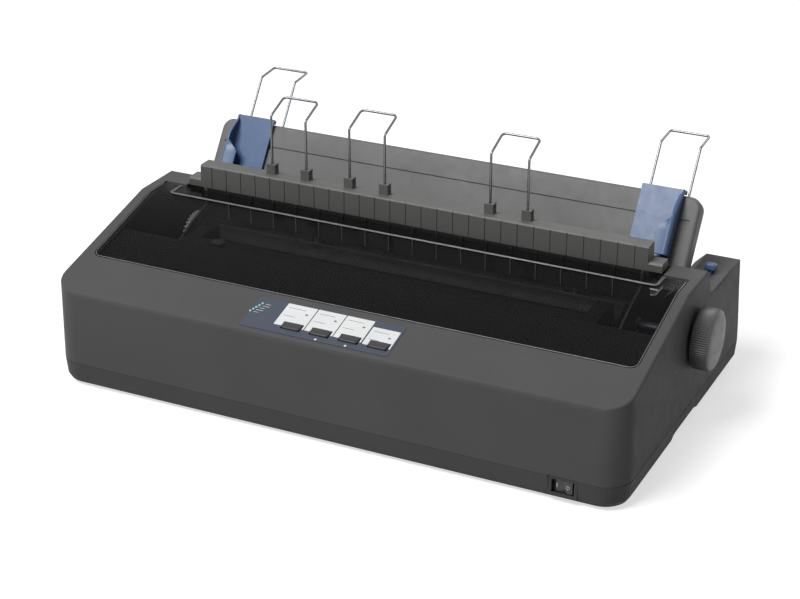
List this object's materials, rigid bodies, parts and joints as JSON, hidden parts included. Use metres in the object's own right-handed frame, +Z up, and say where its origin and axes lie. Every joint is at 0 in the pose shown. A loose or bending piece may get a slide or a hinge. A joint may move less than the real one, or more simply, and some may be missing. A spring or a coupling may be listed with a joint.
{
  "type": "dot matrix printer",
  "caption": "Wide dot matrix printer with a hinged smoked cover, control panel, platen knob, wire paper supports and a folding sheet guide with edge guides.",
  "frame": {"origin": "on the desk, below the middle of the printer's bounding box", "axes": "+X to the printer's right as the user faces it, +Y to its rear, +Z up"},
  "size_m": [0.633, 0.3594, 0.2514],
  "materials": {
    "case_plastic": "fine sparked texture, satin",
    "foot_rubber": "matt",
    "zinc_steel": "bright zinc",
    "zinc_sheet": "zinc plated sheet",
    "ground_steel": "ground bright",
    "black_plastic": "matt",
    "bar_plastic": "satin",
    "label_film": "satin film",
    "lamp_lens": "clear tinted",
    "board_green": "lacquered",
    "socket_plastic": "smooth",
    "white_acetal": "smooth",
    "motor_steel": "black lacquer",
    "belt_rubber": "toothed",
    "ribbon_fabric": "inked weave",
    "smoked_plastic": "smooth smoked",
    "platen_rubber": "ground",
    "knob_plastic": "satin",
    "pinion_brass": "machined",
    "carriage_plastic": "glass filled, matt",
    "head_metal": "die cast",
    "guide_blue": "satin",
    "button_plastic": "satin",
    "guide_plastic": "fine sparked texture",
    "bright_wire": "bright drawn wire"
  },
  "bodies": {
    "case": {"lower_case": "case_plastic", "upper_case": "case_plastic", "rubber_feet": "foot_rubber", "case_screws": "zinc_steel", "base_frame": "zinc_sheet", "side_frame_left": "zinc_sheet", "side_frame_right": "zinc_sheet", "guide_shaft": "ground_steel", "paper_chute": "black_plastic", "exit_guide": "black_plastic", "inner_deck": "black_plastic", "stacker_bar": "bar_plastic", "control_label": "label_film", "indicator_lenses": "lamp_lens", "control_board": "board_green", "main_board": "board_green", "power_supply": "zinc_sheet", "rear_sockets": "socket_plastic", "switch_bezel": "socket_plastic", "platen_bushes": "white_acetal", "carriage_motor": "motor_steel", "feed_motor": "motor_steel", "timing_belt": "belt_rubber", "ribbon_cartridge": "black_plastic", "ink_ribbon": "ribbon_fabric", "tractor_rail": "ground_steel"},
    "cover": {"printer_cover": "smoked_plastic"},
    "platen": {"platen_roller": "platen_rubber", "platen_shaft": "ground_steel", "platen_gear": "white_acetal", "platen_knob": "knob_plastic"},
    "reduction_gear": {"reduction_gear": "white_acetal"},
    "feed_pinion": {"feed_pinion": "pinion_brass"},
    "transfer_gear": {"transfer_gear": "white_acetal"},
    "pressure_rollers": {"pressure_rollers": "platen_rubber"},
    "carriage": {"carriage": "carriage_plastic", "print_head": "head_metal"},
    "drive_pulley": {"drive_pulley": "white_acetal"},
    "idler_pulley": {"idler_pulley": "white_acetal"},
    "ribbon_knob": {"ribbon_knob": "knob_plastic"},
    "release_lever": {"release_lever": "guide_blue"},
    "button_1": {"button_1": "button_plastic"},
    "button_2": {"button_2": "button_plastic"},
    "button_3": {"button_3": "button_plastic"},
    "button_4": {"button_4": "button_plastic"},
    "power_rocker": {"power_rocker": "button_plastic"},
    "sheet_guide": {"sheet_guide": "guide_plastic"},
    "guide_wires": {"guide_wires": "bright_wire"},
    "edge_guide_left": {"edge_guide_left": "guide_blue"},
    "edge_guide_right": {"edge_guide_right": "guide_blue"},
    "stacker_wire_1": {"stacker_wire_1": "bright_wire"},
    "stacker_wire_2": {"stacker_wire_2": "bright_wire"},
    "stacker_wire_3": {"stacker_wire_3": "bright_wire"},
    "tractor_shaft": {"tractor_shaft": "ground_steel"},
    "tractor_left": {"tractor_left": "carriage_plastic"},
    "tractor_right": {"tractor_right": "carriage_plastic"},
    "tractor_sprocket_left": {"tractor_sprocket_left": "guide_blue"},
    "tractor_sprocket_right": {"tractor_sprocket_right": "guide_blue"},
    "tractor_lid_left": {"tractor_lid_left": "guide_blue"},
    "tractor_lid_right": {"tractor_lid_right": "guide_blue"}
  },
  "joints": [
    {"name": "cover_hinge", "type": "hinge", "parent": "case", "child": "cover", "pos_m": [-0.0105, 0.01232, 0.1435], "axis": [-1, 0, 0], "range_deg": [0, 90]},
    {"name": "platen_turn", "type": "hinge", "parent": "case", "child": "platen", "pos_m": [-0.0105, 0.01712, 0.095], "axis": [1, 0, 0], "continuous": true},
    {"name": "reduction_turn", "type": "hinge", "parent": "case", "child": "reduction_gear", "pos_m": [-0.2625, -0.019, 0.06791], "axis": [1, 0, 0], "continuous": true},
    {"name": "pinion_turn", "type": "hinge", "parent": "case", "child": "feed_pinion", "pos_m": [-0.2625, -0.03917, 0.04974], "axis": [1, 0, 0], "continuous": true},
    {"name": "transfer_turn", "type": "hinge", "parent": "case", "child": "transfer_gear", "pos_m": [-0.2625, 0.06385, 0.07822], "axis": [1, 0, 0], "continuous": true},
    {"name": "pressure_turn", "type": "hinge", "parent": "case", "child": "pressure_rollers", "pos_m": [-0.0105, 0.01712, 0.0707], "axis": [1, 0, 0], "continuous": true},
    {"name": "carriage_slide", "type": "slide", "parent": "case", "child": "carriage", "axis": [1, 0, 0], "range_m": [-0.175, 0.175]},
    {"name": "drive_pulley_turn", "type": "hinge", "parent": "case", "child": "drive_pulley", "pos_m": [0.2115, -0.05168, 0.082], "axis": [0, 0, 1], "continuous": true},
    {"name": "idler_pulley_turn", "type": "hinge", "parent": "case", "child": "idler_pulley", "pos_m": [-0.2325, -0.05168, 0.082], "axis": [0, 0, 1], "continuous": true},
    {"name": "ribbon_knob_turn", "type": "hinge", "parent": "case", "child": "ribbon_knob", "pos_m": [-0.1955, -0.05168, 0.12], "axis": [0, 0, 1], "continuous": true},
    {"name": "release_lever_swing", "type": "hinge", "parent": "case", "child": "release_lever", "pos_m": [0.2765, 0.09632, 0.062], "axis": [1, 0, 0], "range_deg": [0, 28]},
    {"name": "button_1_press", "type": "slide", "parent": "case", "child": "button_1", "axis": [0, 0.2489, -0.9685], "range_m": [0, 0.0012], "stiffness_N_per_m": 400, "springref_m": -0.0008},
    {"name": "button_2_press", "type": "slide", "parent": "case", "child": "button_2", "axis": [0, 0.2489, -0.9685], "range_m": [0, 0.0012], "stiffness_N_per_m": 400, "springref_m": -0.0008},
    {"name": "button_3_press", "type": "slide", "parent": "case", "child": "button_3", "axis": [0, 0.2489, -0.9685], "range_m": [0, 0.0012], "stiffness_N_per_m": 400, "springref_m": -0.0008},
    {"name": "button_4_press", "type": "slide", "parent": "case", "child": "button_4", "axis": [0, 0.2489, -0.9685], "range_m": [0, 0.0012], "stiffness_N_per_m": 400, "springref_m": -0.0008},
    {"name": "power_rocker_tilt", "type": "hinge", "parent": "case", "child": "power_rocker", "pos_m": [0.2375, -0.17068, 0.017], "axis": [0, 0, 1], "range_deg": [0, 14]},
    {"name": "sheet_guide_fold", "type": "hinge", "parent": "case", "child": "sheet_guide", "pos_m": [-0.0105, 0.08352, 0.129], "axis": [-1, 0, 0], "range_deg": [0, 52]},
    {"name": "guide_wires_slide", "type": "slide", "parent": "sheet_guide", "child": "guide_wires", "axis": [0, -0.5736, -0.8192], "range_m": [0, 0.028]},
    {"name": "edge_guide_left_slide", "type": "slide", "parent": "sheet_guide", "child": "edge_guide_left", "axis": [1, 0, 0], "range_m": [0, 0.13]},
    {"name": "edge_guide_right_slide", "type": "slide", "parent": "sheet_guide", "child": "edge_guide_right", "axis": [-1, 0, 0], "range_m": [0, 0.13]},
    {"name": "stacker_wire_1_lean", "type": "hinge", "parent": "case", "child": "stacker_wire_1", "pos_m": [-0.1593, 0.03732, 0.182], "axis": [-1, 0, 0], "range_deg": [0, 20]},
    {"name": "stacker_wire_2_lean", "type": "hinge", "parent": "case", "child": "stacker_wire_2", "pos_m": [-0.0685, 0.03732, 0.182], "axis": [-1, 0, 0], "range_deg": [0, 20]},
    {"name": "stacker_wire_3_lean", "type": "hinge", "parent": "case", "child": "stacker_wire_3", "pos_m": [0.0888, 0.03732, 0.182], "axis": [-1, 0, 0], "range_deg": [0, 20]},
    {"name": "tractor_shaft_turn", "type": "hinge", "parent": "case", "child": "tractor_shaft", "pos_m": [-0.0105, 0.10432, 0.082], "axis": [1, 0, 0], "continuous": true},
    {"name": "tractor_left_slide", "type": "slide", "parent": "case", "child": "tractor_left", "axis": [1, 0, 0], "range_m": [-0.05, 0.1]},
    {"name": "tractor_right_slide", "type": "slide", "parent": "case", "child": "tractor_right", "axis": [1, 0, 0], "range_m": [-0.1, 0.05]},
    {"name": "sprocket_left_turn", "type": "hinge", "parent": "tractor_left", "child": "tractor_sprocket_left", "pos_m": [-0.1605, 0.10432, 0.082], "axis": [1, 0, 0], "continuous": true},
    {"name": "sprocket_right_turn", "type": "hinge", "parent": "tractor_right", "child": "tractor_sprocket_right", "pos_m": [0.1395, 0.10432, 0.082], "axis": [1, 0, 0], "continuous": true},
    {"name": "tractor_lid_left_open", "type": "hinge", "parent": "tractor_left", "child": "tractor_lid_left", "pos_m": [-0.1685, 0.11532, 0.0958], "axis": [0, -1, 0], "range_deg": [0, 90]},
    {"name": "tractor_lid_right_open", "type": "hinge", "parent": "tractor_right", "child": "tractor_lid_right", "pos_m": [0.1475, 0.11532, 0.0958], "axis": [0, 1, 0], "range_deg": [0, 90]}
  ],
  "couplings": [
    {"joint": "reduction_turn", "follows": "platen_turn", "ratio": -1.5},
    {"joint": "pinion_turn", "follows": "platen_turn", "ratio": 3},
    {"joint": "transfer_turn", "follows": "platen_turn", "ratio": -1.2},
    {"joint": "tractor_shaft_turn", "follows": "platen_turn", "ratio": 1.5},
    {"joint": "sprocket_left_turn", "follows": "platen_turn", "ratio": 1.5},
    {"joint": "sprocket_right_turn", "follows": "platen_turn", "ratio": 1.5},
    {"joint": "pressure_turn", "follows": "platen_turn", "ratio": -3},
    {"joint": "drive_pulley_turn", "follows": "carriage_slide", "rad_per_m": -116.28},
    {"joint": "idler_pulley_turn", "follows": "carriage_slide", "rad_per_m": -116.28}
  ]
}
